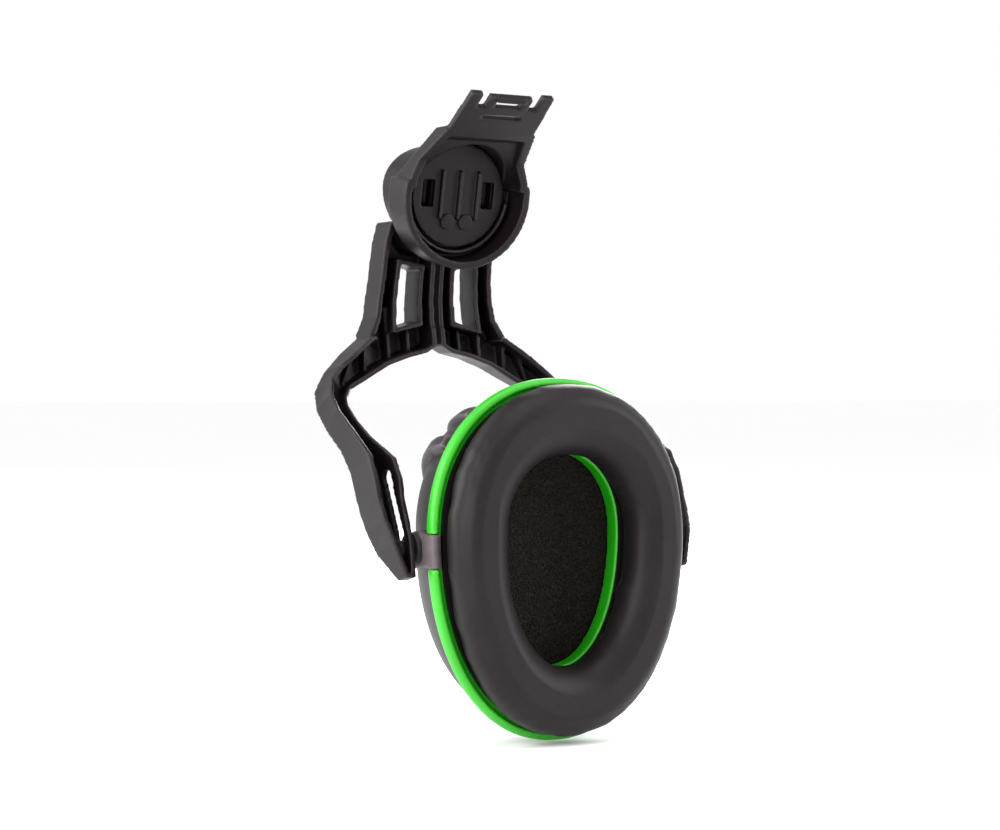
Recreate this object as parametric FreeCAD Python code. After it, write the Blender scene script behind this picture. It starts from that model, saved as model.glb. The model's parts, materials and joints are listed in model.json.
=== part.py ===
import FreeCAD, Part
import math
import os

os.makedirs("parts", exist_ok=True)

# All sizes are millimetres and degrees.
# Working frame while modelling: X across the cup, -Y away from the head, +Z up,
# with Y = 0 at the cup's rim and Z = 0 at the cup's widest level.
# Every node is moved at the end so that the root of the helmet blade is the origin.

# Cup outline, an egg that is widest at ear height
rim_half_width = 43.8
rim_upper_height = 46.3
rim_lower_height = 62.1
egg_power = 2.14
egg_point_count = 32

# Seal ring between shell and cushion
ring_thickness = 4.4
ring_web = 2.6
ring_rim_wall = 2.2
ring_edge_chamfer = 0.9
ear_opening_inset = 22.0
ear_lip_wall = 1.2
ear_lip_depth = 2.6
ring_skirt_depth = 4.0
ring_skirt_wall = 1.4
ring_notch_height = 10.0

# Cup shell
shell_rim_inset = 2.8
shell_wall = 2.5
shell_depth = 28.0
icon_floor = 2.4
icon_proud = 0.15
fit_gap = 0.1

# Cushion, its backing plate and the foam liner in the cup
cushion_side_inset = 3.4
cushion_end_inset = 1.5
cushion_front = 17.0
cover_thickness = 0.8
backing_thickness = 1.2
liner_front = -3.2
liner_thickness = 9.0
liner_gap = 0.4

# Pivot pins between the arms and the cup
pivot_y = -8.0
pivot_z = -4.3
pivot_neck_radius = 1.75
pivot_stem_radius = 3.0
pivot_head_radius = 2.9
pivot_head_length = 2.8
pivot_boss_radius = 5.5
washer_radius = 5.2
washer_thickness = 1.4
running_clearance = 0.05

# Arms
arm_to_rim = 1.0
arm_drawn_x = 44.8
arm_wall = 1.6
arm_front_wall = 1.8
arm_half_slit = 0.9
arm_panel_depth = 10.0
window_wall = 1.5
slot_clearance = 0.2
slot_pitch = 2.6
slot_steps = 9
slot_lean = 26.3
detent_bulge = 0.3
head_clearance = 0.35

# Swivelling turret
swivel_y = -60.3
swivel_z = 106.1
swivel_tilt = 11.0
knob_height = 16.5
knob_half_width = 16.5
knob_top = 13.6
knob_bottom = 12.0
knob_level = 0.6
knob_wall = 2.0
knob_bevel = 1.4
cap_half_width = 12.2
cap_recess = 1.1
cap_thickness = 1.4
neck_radius = 14.6
core_radius = 6.5
flange_overhang = 4.7
flange_thickness = 1.5
rotor_overhang = 2.0
rotor_thickness = 2.0
wave_washer_thickness = 0.9
wave_washer_width = 1.5
axial_clearance = 0.1

# Arm hinge inside the turret
hinge_out = 7.5
hinge_down = 6.0
hinge_pin_radius = 1.5
hinge_barrel_radius = 3.3
hinge_pin_half_length = 13.4
tab_inner_x = 1.3
tab_outer_x = 8.2
tab_thickness = 4.0
tab_root_y = -68.6
tab_root_z = 87.6
spring_wire = 0.8
spring_turns = 3

# Helmet adapter
base_shoulder = 8.4
base_depth = 12.3
base_wall = 2.4
base_floor = 2.6
drum_shoulder = 4.3
ledge_half_width = 15.6
ledge_y = -42.0
ledge_z = 124.6
notch_half_width = 21.4
notch_z = 109.6
blade_lean = 37.0
blade_tip_y = -21.0
blade_tip_z = 132.8
blade_length = 16.6
blade_thickness = 2.2
blade_tip_width = 29.6
blade_root_width = 31.2
prong_width = 4.2
prong_gap = 3.0
prong_depth = 5.9

V = FreeCAD.Vector
arm_inner_x = rim_half_width + arm_to_rim
arm_spread = arm_inner_x / arm_drawn_x
flange_radius = neck_radius + flange_overhang
rotor_radius = neck_radius + rotor_overhang
base_radius = neck_radius + base_shoulder
drum_radius = neck_radius + drum_shoulder


def egg_wire(side_inset, end_inset, y):
    """Closed egg-shaped wire in the plane at y."""
    points = []
    for i in range(egg_point_count):
        turn = 2 * math.pi * i / egg_point_count
        across, up = math.cos(turn), math.sin(turn)
        height = rim_upper_height if up >= 0 else rim_lower_height
        x = (rim_half_width - side_inset) * math.copysign(abs(across) ** (2 / egg_power), across)
        z = (height - end_inset) * math.copysign(abs(up) ** (2 / egg_power), up)
        points.append(V(x, y, z))
    curve = Part.BSplineCurve()
    curve.interpolate(Points=points, PeriodicFlag=True)
    return Part.Wire([curve.toShape()])


def egg_loft(profile, ruled=False):
    """Solid through eggs at (inset, y) stations."""
    wires = [egg_wire(station[0], station[0], station[1]) for station in profile]
    return Part.makeLoft(wires, True, ruled)


def egg_plate(inset, y_low, y_high):
    return egg_loft([(inset, y_low), (inset, y_high)], True)


def inward(profile, distance):
    """The same rim-to-crown profile moved into the cup by a wall thickness."""
    moved = []
    last = len(profile) - 1
    for i, station in enumerate(profile):
        before, after = profile[max(i - 1, 0)], profile[min(i + 1, last)]
        run, rise = after[0] - before[0], before[1] - after[1]
        length = math.hypot(run, rise)
        moved.append((station[0] + distance * rise / length, station[1] + distance * run / length))
    return moved


def prism(points, direction, start):
    """Straight prism on a closed outline: points are vectors in one plane."""
    outline = Part.makePolygon([p + start for p in points + points[:1]])
    return Part.Face(outline).extrude(direction)


def front_prism(outline, y_low, y_high):
    """Prism of an (x, z) outline between two y planes."""
    return prism([V(x, 0, z) for x, z in outline], V(0, y_high - y_low, 0), V(0, y_low, 0))


def side_prism(outline, x_low, x_high):
    """Prism of a (y, z) outline between two x planes."""
    return prism([V(0, y, z) for y, z in outline], V(x_high - x_low, 0, 0), V(x_low, 0, 0))


def mirrored(shape):
    return shape.mirror(V(0, 0, 0), V(1, 0, 0))


def block(x_low, x_high, y_low, y_high, z_low, z_high):
    return Part.makeBox(x_high - x_low, y_high - y_low, z_high - z_low, V(x_low, y_low, z_low))


def rod_x(radius, x_low, x_high, y, z):
    return Part.makeCylinder(radius, x_high - x_low, V(x_low, y, z), V(1, 0, 0))


def cleaned(shape):
    """One solid with merged faces."""
    refined = shape.removeSplitter()
    return refined.Solids[0] if len(refined.Solids) == 1 else refined


# ---- cup shell ----
shell_profile = [
    (shell_rim_inset, 0.0),
    (shell_rim_inset + 0.5, -0.21 * shell_depth),
    (shell_rim_inset + 1.5, -0.43 * shell_depth),
    (shell_rim_inset + 3.3, -0.62 * shell_depth),
    (shell_rim_inset + 6.7, -0.78 * shell_depth),
    (shell_rim_inset + 12.2, -0.885 * shell_depth),
    (shell_rim_inset + 21.0, -0.962 * shell_depth),
    (shell_rim_inset + 31.0, -shell_depth),
]
shell_skin = egg_loft(shell_profile)
inner_profile = inward(shell_profile, shell_wall)
inner_profile[0] = (shell_rim_inset + shell_wall, fit_gap)
shell_hollow = egg_loft(inner_profile)
icon_room_front = -shell_depth - 5
icon_room_back = icon_floor - shell_depth
icon_z = 22.4
icon_horn = [(-4.0, 1.4), (-1.8, 1.4), (0.6, 4.0), (0.6, -4.0), (-1.8, -1.4), (-4.0, -1.4)]
icon_wave_radii = [(2.6, 3.5), (4.5, 5.4)]


def icon_prisms():
    """A plain loudspeaker sign: a horn and two short waves, as separate prisms."""
    horn = [(x, z + icon_z) for x, z in icon_horn]
    prisms = [front_prism(horn, icon_room_front, icon_room_back)]
    for small, large in icon_wave_radii:
        centre = V(0, icon_room_front, icon_z)
        length = icon_room_back - icon_room_front
        band = Part.makeCylinder(large, length, centre, V(0, 1, 0))
        band = band.cut(Part.makeCylinder(small, length, centre, V(0, 1, 0)))
        wedge = front_prism([(0, icon_z), (6, icon_z + 4.6), (6, icon_z - 4.6)],
                            icon_room_front, icon_room_back)
        prisms.append(band.common(wedge))
    return prisms


cup_shell = shell_skin.cut(shell_hollow)

boss_outer_x = arm_inner_x - 2.0
boss_inner_x = rim_half_width - shell_rim_inset - shell_wall - 2.0
clip_proud = -0.2
clip_low = -2.6
for side in (1, -1):
    boss = rod_x(pivot_boss_radius, boss_inner_x, boss_outer_x, pivot_y, pivot_z)
    tab = block(rim_half_width - shell_rim_inset - 0.9, rim_half_width + clip_proud,
                clip_low, ring_thickness - fit_gap,
                pivot_z - ring_notch_height / 2, pivot_z + ring_notch_height / 2)
    bore = rod_x(pivot_stem_radius + running_clearance, boss_inner_x + 1.6, boss_outer_x, pivot_y, pivot_z)
    if side < 0:
        boss, tab, bore = mirrored(boss), mirrored(tab), mirrored(bore)
    cup_shell = cup_shell.fuse([boss, tab]).cut(bore)

proud_skin = egg_loft(inward(shell_profile, -icon_proud))
level_mark = Part.makeCompound([piece.common(proud_skin) for piece in icon_prisms()])
for piece in icon_prisms():
    cup_shell = cup_shell.cut(piece)

# ---- seal ring ----
ring_profile = [
    (ring_edge_chamfer, 0.0),
    (0.0, ring_edge_chamfer),
    (0.0, ring_thickness - ring_edge_chamfer),
    (ring_edge_chamfer, ring_thickness),
]
ring_plate = egg_loft(ring_profile, True)
ring_plate = ring_plate.cut(egg_plate(ring_rim_wall, ring_web, ring_thickness + 1))
skirt_inset = shell_rim_inset + shell_wall + fit_gap + 0.6
skirt = egg_plate(skirt_inset, -ring_skirt_depth, 0.0)
skirt = skirt.cut(egg_plate(skirt_inset + ring_skirt_wall, -ring_skirt_depth - 1, 1.0))
lip = egg_plate(ear_opening_inset - ear_lip_wall, -ear_lip_depth, 0.0)
ring_plate = ring_plate.fuse([skirt, lip])
ring_plate = ring_plate.cut(egg_plate(ear_opening_inset, -ear_lip_depth - 1, ring_thickness + 1))
for side in (1, -1):
    notch = block(rim_half_width - shell_rim_inset - 1.0, rim_half_width + 1, -1, ring_thickness + 1,
                  pivot_z - ring_notch_height / 2 - fit_gap, pivot_z + ring_notch_height / 2 + fit_gap)
    stem_room = rod_x(pivot_boss_radius + 0.2, boss_inner_x - 0.3, boss_outer_x, pivot_y, pivot_z)
    if side < 0:
        notch, stem_room = mirrored(notch), mirrored(stem_room)
    ring_plate = ring_plate.cut([notch, stem_room])
ring_plate = cleaned(ring_plate)


# ---- cushion ----
cushion_base = ring_web + backing_thickness + 2 * fit_gap
opening_side_inset = ear_opening_inset - 0.2
opening_end_inset = ear_opening_inset + 0.9
crown_rise = cushion_front - cushion_base


def cushion_wire(share, y, shift):
    """Egg between the cushion's outer edge (share 0) and its ear opening (share 1)."""
    side = cushion_side_inset + share * (opening_side_inset - cushion_side_inset) + shift
    end = cushion_end_inset + share * (opening_end_inset - cushion_end_inset) + shift
    return egg_wire(side, end, y)


outer_stations = [(0.06, 0.0), (0.0, 0.32), (0.03, 0.58), (0.12, 0.82), (0.25, 0.96), (0.40, 1.0)]
opening_stations = [(0.58, 1.0), (0.75, 0.93), (0.90, 0.71), (1.0, 0.38), (0.99, 0.0)]


def cushion_body(skin, base_lift):
    """The stuffed torus, moved inwards by a skin thickness."""
    outer_wires = []
    for share, rise in outer_stations:
        y = cushion_base + base_lift + rise * (crown_rise - skin - base_lift)
        outer_wires.append(cushion_wire(share, y, skin))
    body = Part.makeLoft(outer_wires, True, False)
    hole_wires = []
    for share, rise in opening_stations:
        y = cushion_base + base_lift + rise * (crown_rise - skin - base_lift)
        hole_wires.append(cushion_wire(share, y, -skin))
    hole = Part.makeLoft(hole_wires, True, False)
    return body.cut(hole)


cushion_cover = cleaned(cushion_body(0.0, 0.0).cut(cushion_body(cover_thickness, 0.0)))
cushion_foam = cleaned(cushion_body(cover_thickness + fit_gap, 0.05))
backing_low = ring_web + fit_gap
cushion_backing = egg_plate(cushion_side_inset + 0.4, backing_low, backing_low + backing_thickness)
cushion_backing = cushion_backing.cut(
    egg_plate(ear_opening_inset - 0.6, backing_low - 1, backing_low + backing_thickness + 1))

# ---- foam liner inside the cup ----
liner_skin = egg_loft(inward(shell_profile, shell_wall + liner_gap)[:-3] + [
    (shell_rim_inset + 24.0, -shell_depth + shell_wall + liner_gap + 2.6)])
liner_room = block(-rim_half_width, rim_half_width, liner_front - liner_thickness, liner_front,
                   -rim_lower_height, rim_upper_height)
liner_foam = liner_skin.common(liner_room)
liner_trim = egg_plate(skirt_inset + ring_skirt_wall + liner_gap, -2 * shell_depth, liner_front + 1)
liner_foam = liner_foam.common(liner_trim)
for side in (1, -1):
    stem_room = rod_x(pivot_boss_radius + 0.5, boss_inner_x - 0.6, boss_outer_x, pivot_y, pivot_z)
    liner_foam = liner_foam.cut(stem_room if side > 0 else mirrored(stem_room))
liner_foam = cleaned(liner_foam)

# ---- pivot pins and washers ----
washer_low = arm_inner_x - 0.3 - washer_thickness
neck_high = arm_inner_x + arm_wall + slot_clearance


def make_trunnion():
    stem = rod_x(pivot_stem_radius, boss_inner_x + 1.8, washer_low, pivot_y, pivot_z)
    neck = rod_x(pivot_neck_radius, washer_low - 0.5, neck_high + 0.5, pivot_y, pivot_z)
    head = rod_x(pivot_head_radius, neck_high, neck_high + pivot_head_length, pivot_y, pivot_z)
    rim_edges = [edge for edge in head.Edges if edge.BoundBox.XLength < 0.01]
    outer_edge = max(rim_edges, key=lambda edge: edge.BoundBox.XMin)
    head = head.makeFillet(pivot_head_length * 0.6, [outer_edge])
    return stem.fuse([neck, head])


def make_washer():
    disc = rod_x(washer_radius, washer_low, washer_low + washer_thickness, pivot_y, pivot_z)
    return disc.cut(rod_x(pivot_neck_radius + running_clearance, washer_low - 1,
                          washer_low + washer_thickness + 1, pivot_y, pivot_z))


trunnion_right = cleaned(make_trunnion())
trunnion_left = mirrored(trunnion_right)
washer_right = make_washer()
pivot_washers = Part.makeCompound([washer_right, mirrored(washer_right)])

# ---- frames of the turret and the blade ----
turret_place = FreeCAD.Placement(V(0, swivel_y, swivel_z), FreeCAD.Rotation(V(1, 0, 0), 90 - swivel_tilt))
blade_place = FreeCAD.Placement(V(0, blade_tip_y, blade_tip_z), FreeCAD.Rotation(V(1, 0, 0), blade_lean))
hinge_point = turret_place.multVec(V(0, -hinge_down, hinge_out))
blade_root = blade_place.multVec(V(0, -blade_length, blade_thickness / 2))


def placed(shape, placement):
    moved = shape.copy()
    moved.Placement = placement.multiply(moved.Placement)
    return moved


# ---- arms, modelled on the +X side ----
# Channel stations: outer front edge, inner front edge, outer back edge, inner wall depth share
arm_stations = [
    (V(50.0, -5.0, -13.0), V(46.4, -5.0, -13.0), V(50.2, 0.6, -11.6), 0.95),
    (V(52.4, -13.5, -6.0), V(arm_drawn_x, -13.5, -6.0), V(53.4, -1.9, -0.8), 0.92),
    (V(53.9, -17.0, 0.0), V(arm_drawn_x, -17.0, 0.0), V(54.5, -5.1, 5.2), 0.92),
    (V(54.6, -20.1, 6.0), V(arm_drawn_x, -20.1, 6.0), V(55.0, -8.0, 11.2), 0.92),
    (V(55.2, -22.2, 12.0), V(arm_drawn_x, -22.2, 12.0), V(55.0, -10.2, 17.3), 0.92),
    (V(55.2, -25.1, 18.0), V(arm_drawn_x + 0.2, -25.0, 18.0), V(54.6, -14.3, 23.8), 0.85),
    (V(54.0, -33.3, 24.0), V(46.0, -32.5, 24.5), V(53.0, -27.0, 30.6), 0.62),
    (V(52.5, -45.5, 30.0), V(43.8, -43.9, 29.2), V(50.5, -41.8, 37.0), 0.55),
    (V(50.1, -56.9, 36.0), V(42.0, -54.6, 34.2), V(47.2, -52.5, 41.8), 0.55),
    (V(46.0, -66.5, 42.0), V(39.6, -62.0, 37.6), V(42.0, -61.6, 46.6), 0.55),
    (V(40.5, -70.8, 48.0), V(35.3, -69.4, 41.0), V(37.0, -63.4, 51.2), 0.6),
    (V(33.4, -73.6, 54.0), V(28.0, -73.4, 45.4), V(31.6, -63.8, 55.2), 0.8),
    (V(25.4, -76.2, 59.5), V(19.4, -75.2, 50.2), V(25.0, -66.0, 60.0), 0.95),
    (V(12.0, -77.3, 62.0), V(11.6, -75.9, 53.2), V(12.0, -67.0, 62.0), 1.0),
    (V(4.7, -77.4, 62.6), V(4.7, -76.2, 54.8), V(4.7, -67.2, 62.6), 1.0),
    (V(arm_half_slit, -77.4, 63.0), V(arm_half_slit, -76.4, 57.2), V(arm_half_slit, -67.4, 63.0), 1.0),
]


def spread(point):
    """A drawn arm point carried outwards with the width of the rim."""
    return V(point.x * arm_spread, point.y, point.z)


def channel_loft(side_wall, front_wall, back_reach):
    """Loft of four-cornered sections, shrunk by walls and lengthened at the open back."""
    wires = []
    for station in arm_stations:
        outer, inner, back = [spread(point) for point in station[:3]]
        share = station[3]
        across = (inner - outer).normalize()
        deep = back - outer
        depth = deep.Length
        deep = deep.normalize()
        corners = [
            outer + across * side_wall + deep * front_wall,
            inner - across * side_wall + deep * front_wall,
            inner - across * side_wall + deep * (depth * share + back_reach),
            outer + across * side_wall + deep * (depth + back_reach),
        ]
        wires.append(Part.makePolygon(corners + corners[:1]))
    return Part.makeLoft(wires, True, True)


panel_front = [(50.0, -75.6), (57.0, -76.6), (66.0, -78.4), (72.0, -78.8), (78.0, -78.2), (84.0, -77.3),
               (90.0, -76.4), (98.0, -75.2)]
panel_outline = [(arm_half_slit, 57.2), (arm_half_slit, 87.8), (arm_half_slit + 1.2, 89.0), (9.0, 89.0),
                 (11.0, 89.8), (17.0, 96.6), (18.0, 97.0), (18.9, 95.4), (20.0, 90.0), (20.6, 78.2),
                 (21.3, 72.0), (22.3, 66.0), (25.6, 60.0), (20.0, 54.0), (11.6, 54.0), (4.7, 55.2)]
panel_hollow_outline = [(arm_half_slit + arm_wall, 58.0), (arm_half_slit + arm_wall, 86.6), (9.6, 87.2),
                        (11.8, 88.6), (17.0, 94.4), (18.2, 89.6), (18.9, 78.0), (19.6, 71.6), (20.6, 65.4),
                        (23.4, 59.6), (19.0, 55.6), (11.6, 55.6), (5.4, 56.4)]
panel_lip_rise = 0.7
panel_lip_outline = [(arm_half_slit, 56.5), (arm_half_slit, 87.8), (arm_half_slit + 1.2, 89.0), (9.0, 89.0),
                     (11.0, 89.8), (17.0, 96.6), (18.0, 97.0), (18.9, 95.4), (16.9, 93.6), (11.9, 87.9),
                     (9.5, 87.0), (arm_half_slit + 2.0, 87.0), (arm_half_slit + 2.0, 56.5)]
window_outline = [(6.9, 65.0), (15.1, 62.6), (13.6, 83.4), (6.4, 81.8)]


def widened(outline):
    """An outline whose outer part follows the spread of the arm; the hinge end keeps its place."""
    return [(x * arm_spread if x > tab_outer_x + 1.5 else x, z) for x, z in outline]


def panel_side(shift_front, back):
    outline = [(y + shift_front, z) for z, y in panel_front]
    rear = [(y + back, z) for z, y in panel_front[::-1]]
    return side_prism(outline + rear, 0, 30)


def grown(outline, distance):
    """A convex outline with each corner pushed out from the centre."""
    centre_x = sum(p[0] for p in outline) / len(outline)
    centre_z = sum(p[1] for p in outline) / len(outline)
    result = []
    for x, z in outline:
        result.append((x + math.copysign(distance, x - centre_x), z + math.copysign(distance, z - centre_z)))
    return result


slot_angle = math.radians(slot_lean)
slot_direction = V(0, -math.sin(slot_angle), math.cos(slot_angle))
slot_half_width = pivot_neck_radius + slot_clearance


def slot_cutter():
    """Slot with a row of rounded rests along both edges."""
    x_low, x_high = arm_inner_x - 2, arm_inner_x + arm_wall + 0.6
    start = V(x_low, pivot_y, pivot_z)
    travel = slot_pitch * slot_steps
    side = V(0, slot_direction.z, -slot_direction.y) * slot_half_width
    corners = [start + side, start - side,
               start - side + slot_direction * travel, start + side + slot_direction * travel]
    cutter = prism(corners, V(x_high - x_low, 0, 0), V(0, 0, 0))
    rests = []
    for step in range(slot_steps + 1):
        centre = start + slot_direction * (slot_pitch * step)
        rests.append(Part.makeCylinder(slot_half_width + detent_bulge, x_high - x_low, centre, V(1, 0, 0)))
    return cutter.fuse(rests)


def head_room():
    """Room in the channel for the pin's head along its whole travel."""
    x_low = arm_inner_x + arm_wall + slot_clearance / 2
    length = pivot_head_length + head_clearance + slot_clearance
    radius = pivot_head_radius + head_clearance
    start = V(x_low, pivot_y, pivot_z)
    travel = slot_direction * (slot_pitch * slot_steps)
    side = V(0, slot_direction.z, -slot_direction.y) * radius
    corners = [start + side, start - side, start - side + travel, start + side + travel]
    ends = [Part.makeCylinder(radius, length, place, V(1, 0, 0)) for place in (start, start + travel)]
    return prism(corners, V(length, 0, 0), V(0, 0, 0)).fuse(ends)


def make_arm():
    body = channel_loft(0.0, 0.0, 0.0)
    panel = panel_side(0.0, arm_panel_depth).common(front_prism(widened(panel_outline), -90, -60))
    lip = panel_side(-panel_lip_rise, panel_lip_rise).common(
        front_prism(widened(panel_lip_outline), -90, -60))
    body = body.fuse([panel, lip])
    hollow = channel_loft(arm_wall, arm_front_wall, 6.0)
    end_wall = block(0.9 * arm_inner_x, 1.4 * arm_inner_x, -30, 10, -20, -13.0 + 2.4)
    hollow = hollow.cut(end_wall)
    hollow = hollow.cut(block(-1, arm_half_slit + arm_wall, -90, -50, 50, 70))
    panel_room = panel_side(arm_front_wall, arm_panel_depth + 6).common(
        front_prism(widened(panel_hollow_outline), -90, -50))
    window_frame = front_prism(grown(window_outline, window_wall), -90, -50)
    hollow = hollow.fuse(panel_room).cut(window_frame)
    body = body.cut(hollow)
    body = body.cut(front_prism(window_outline, -95, -55))
    tab = make_tab()
    body = body.cut([slot_cutter(), head_room()]).fuse([tab] + arm_ribs(hollow))
    bore = rod_x(hinge_pin_radius + running_clearance, tab_inner_x - 1, tab_outer_x + 1,
                 hinge_point.y, hinge_point.z)
    return cleaned(body.cut(bore))


rib_thickness = 1.1


def arm_ribs(hollow):
    """Cross ribs in the channel, low enough to leave the slot and the pin free."""
    ribs = []
    for x, z, lean in [(49.0, 33.0, 30), (45.0, 40.5, 20), (39.0, 46.0, 0), (32.5, 50.0, -20),
                       (26.0, 54.0, 0), (17.0, 57.5, 0), (9.5, 58.5, 0)]:
        plate = Part.makeBox(rib_thickness, 40, 24, V(-rib_thickness / 2, -85, -12))
        plate.rotate(V(0, 0, 0), V(0, 1, 0), lean)
        plate.translate(V(x * arm_spread, 0, z))
        ribs.append(plate.common(rib_room).common(hollow))
    return [rib for rib in ribs if rib.Solids]


rib_room = channel_loft(0.4, 0.4, -4.0).fuse(
    panel_side(0.4, arm_panel_depth - 4).common(front_prism(widened(panel_outline), -90, -60)))


def make_tab():
    """Hinge tab from the arm's top edge up to the barrel on the pin."""
    barrel = rod_x(hinge_barrel_radius, tab_inner_x, tab_outer_x, hinge_point.y, hinge_point.z)
    front = hinge_point.y - 0.4 * tab_thickness
    web = side_prism([(front, hinge_point.z), (front + tab_thickness, hinge_point.z),
                      (tab_root_y, tab_root_z), (tab_root_y - tab_thickness, tab_root_z)],
                     tab_inner_x, tab_outer_x)
    return barrel.fuse(web)


arm_right = make_arm()
arm_left = mirrored(arm_right)


# ---- turret ----
def knob_outline(shrink):
    """Flat-bottomed round outline in the turret's plane."""
    half = knob_half_width - shrink
    top = knob_top - knob_level - shrink
    bottom = -(knob_bottom + knob_level - shrink)
    crown = Part.ArcOfEllipse(Part.Ellipse(V(0, 0, 0), half, top), 0, math.pi).toShape()
    left = Part.Arc(V(-half, 0, 0), V(-0.955 * half, 0.4 * bottom, 0), V(-0.81 * half, 0.79 * bottom, 0))
    left_corner = Part.Arc(V(-0.81 * half, 0.79 * bottom, 0), V(-0.73 * half, 0.94 * bottom, 0),
                           V(-0.6 * half, bottom, 0))
    right_corner = Part.Arc(V(0.6 * half, bottom, 0), V(0.73 * half, 0.94 * bottom, 0),
                            V(0.81 * half, 0.79 * bottom, 0))
    right = Part.Arc(V(0.81 * half, 0.79 * bottom, 0), V(0.955 * half, 0.4 * bottom, 0), V(half, 0, 0))
    flat = Part.makeLine(V(-0.6 * half, bottom, 0), V(0.6 * half, bottom, 0))
    return Part.Wire([crown, left.toShape(), left_corner.toShape(), flat, right_corner.toShape(),
                      right.toShape()])


def knob_slice(stations):
    """Ruled solid through (shrink, height) stations of the knob outline."""
    wires = []
    for shrink, height in stations:
        wire = knob_outline(shrink)
        wire.translate(V(0, knob_level, height))
        wires.append(wire)
    return Part.makeLoft(wires, True, True)


cap_shrink = knob_half_width - cap_half_width
cavity_half_width = tab_outer_x + 4.1
knob_floor = flange_thickness + axial_clearance
housing = knob_slice([(0.0, axial_clearance), (0.0, knob_height - knob_bevel), (knob_bevel, knob_height)])
flange = Part.makeCylinder(flange_radius, flange_thickness, V(0, 0, axial_clearance))
flange = flange.common(Part.makeBox(60, 40, 20, V(-30, -34, -1)))
neck_low = -(base_floor + wave_washer_thickness + axial_clearance)
neck = Part.makeCylinder(neck_radius, -neck_low + 1, V(0, 0, neck_low))
turret_housing = housing.fuse([flange, neck])
cap_seat = knob_slice([(cap_shrink, knob_height - cap_recess - cap_thickness),
                       (cap_shrink, knob_height - cap_recess), (cap_shrink - cap_recess, knob_height)])
turret_housing = turret_housing.cut(cap_seat)
cavity_top = knob_height - cap_recess - cap_thickness - knob_wall
cavity = Part.makeBox(2 * cavity_half_width, 40, cavity_top - knob_floor,
                      V(-cavity_half_width, -hinge_down + 4.6 - 40, knob_floor))
turret_housing = turret_housing.cut(cavity)
divider = Part.makeBox(1.6, 10, cavity_top - knob_floor + 0.4,
                       V(-0.8, -(knob_bottom - 0.4), knob_floor - 0.2))
turret_housing = turret_housing.fuse(divider)
turret_housing = turret_housing.cut(Part.makeCylinder(hinge_pin_radius + running_clearance,
                                                      2 * hinge_pin_half_length + 0.2,
                                                      V(-hinge_pin_half_length - 0.1, -hinge_down, hinge_out),
                                                      V(1, 0, 0)))
core = Part.makeCylinder(core_radius, -neck_low - 0.6, V(0, 0, neck_low - 0.1))
turret_housing = cleaned(turret_housing.cut(core))
turret_housing = placed(turret_housing, turret_place)

turret_cap = knob_slice([(cap_shrink + fit_gap, knob_height - cap_recess - cap_thickness + 0.02),
                         (cap_shrink + fit_gap, knob_height - cap_recess)])
turret_cap = placed(turret_cap, turret_place)

# rotor plate behind the adapter floor, with ribs, two windows and two pin seats
rotor_low = neck_low - rotor_thickness
rotor = Part.makeCylinder(rotor_radius, rotor_thickness, V(0, 0, rotor_low))
rib_half = 0.55
rib_rise = 1.6
rib_spacing = 6.6
rib_length = 15.0
for step in (-1, 0, 1):
    rotor = rotor.fuse(Part.makeBox(2 * rib_half, rib_length, rib_rise + 0.2,
                                    V(step * rib_spacing - rib_half, -7.5, rotor_low - rib_rise)))
window_width = 4.4
window_height = 8.5
window_x = 8.8
window_low = -4.0
window_pocket = 3.4
for side in (1, -1):
    low_x = window_x if side > 0 else -window_x - window_width
    window = Part.makeBox(window_width, window_height, rotor_thickness + window_pocket,
                          V(low_x, window_low, rotor_low))
    rotor = rotor.cut(window)
    turret_housing = turret_housing.cut(placed(window, turret_place))
pin_seat_x = rib_spacing / 2
pin_seat_y = -8.6
rotor_pin_radius = 1.6
rotor_pin_head = 2.5
rotor_pin_length = 5.0
pins = []
for side in (1, -1):
    centre = V(side * pin_seat_x, pin_seat_y, 0)
    hole = Part.makeCylinder(rotor_pin_radius, rotor_thickness + 2, centre + V(0, 0, rotor_low - 1))
    rotor = rotor.cut(hole)
    shaft = Part.makeCylinder(rotor_pin_radius - fit_gap, rotor_pin_length - 0.2,
                              centre + V(0, 0, rotor_low))
    head = Part.makeCylinder(rotor_pin_head, 0.9, centre + V(0, 0, rotor_low - 0.9))
    pins.append(shaft.fuse(head))
rotor_plate = placed(cleaned(rotor), turret_place)
for pin in pins:
    turret_housing = turret_housing.cut(placed(pin, turret_place))
rotor_pins = placed(Part.makeCompound(pins), turret_place)

wave_washer = Part.makeCylinder(neck_radius + 0.3 + wave_washer_width, wave_washer_thickness - 0.1,
                                V(0, 0, -base_floor - wave_washer_thickness + 0.05))
wave_washer = wave_washer.cut(Part.makeCylinder(neck_radius + 0.3, 4, V(0, 0, -base_floor - 3)))
wave_washer = placed(wave_washer, turret_place)

hinge_pin = rod_x(hinge_pin_radius, -hinge_pin_half_length, hinge_pin_half_length,
                  hinge_point.y, hinge_point.z)


def torsion_spring():
    """Close-wound coil round the pin with one straight leg on the cavity roof."""
    coil_radius = hinge_pin_radius + 0.35 + spring_wire / 2
    pitch = spring_wire + 0.08
    length = pitch * spring_turns
    start_x = tab_outer_x + 0.25 + spring_wire / 2
    helix = Part.makeHelix(pitch, length, coil_radius)
    profile = Part.Wire([Part.makeCircle(spring_wire / 2, V(coil_radius, 0, 0), V(0, 1, 0))])
    coil = Part.Wire(helix).makePipeShell([profile], True, True)
    leg = Part.makeCylinder(spring_wire / 2, 3.6, V(coil_radius, -0.2, length), V(0, 1, 0))
    spring = Part.Solid(coil).fuse(leg)
    spring.rotate(V(0, 0, 0), V(0, 1, 0), 90)
    spring.translate(V(start_x, hinge_point.y, hinge_point.z))
    return spring


torsion_spring_right = torsion_spring()
torsion_spring_left = mirrored(torsion_spring_right)


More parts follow.
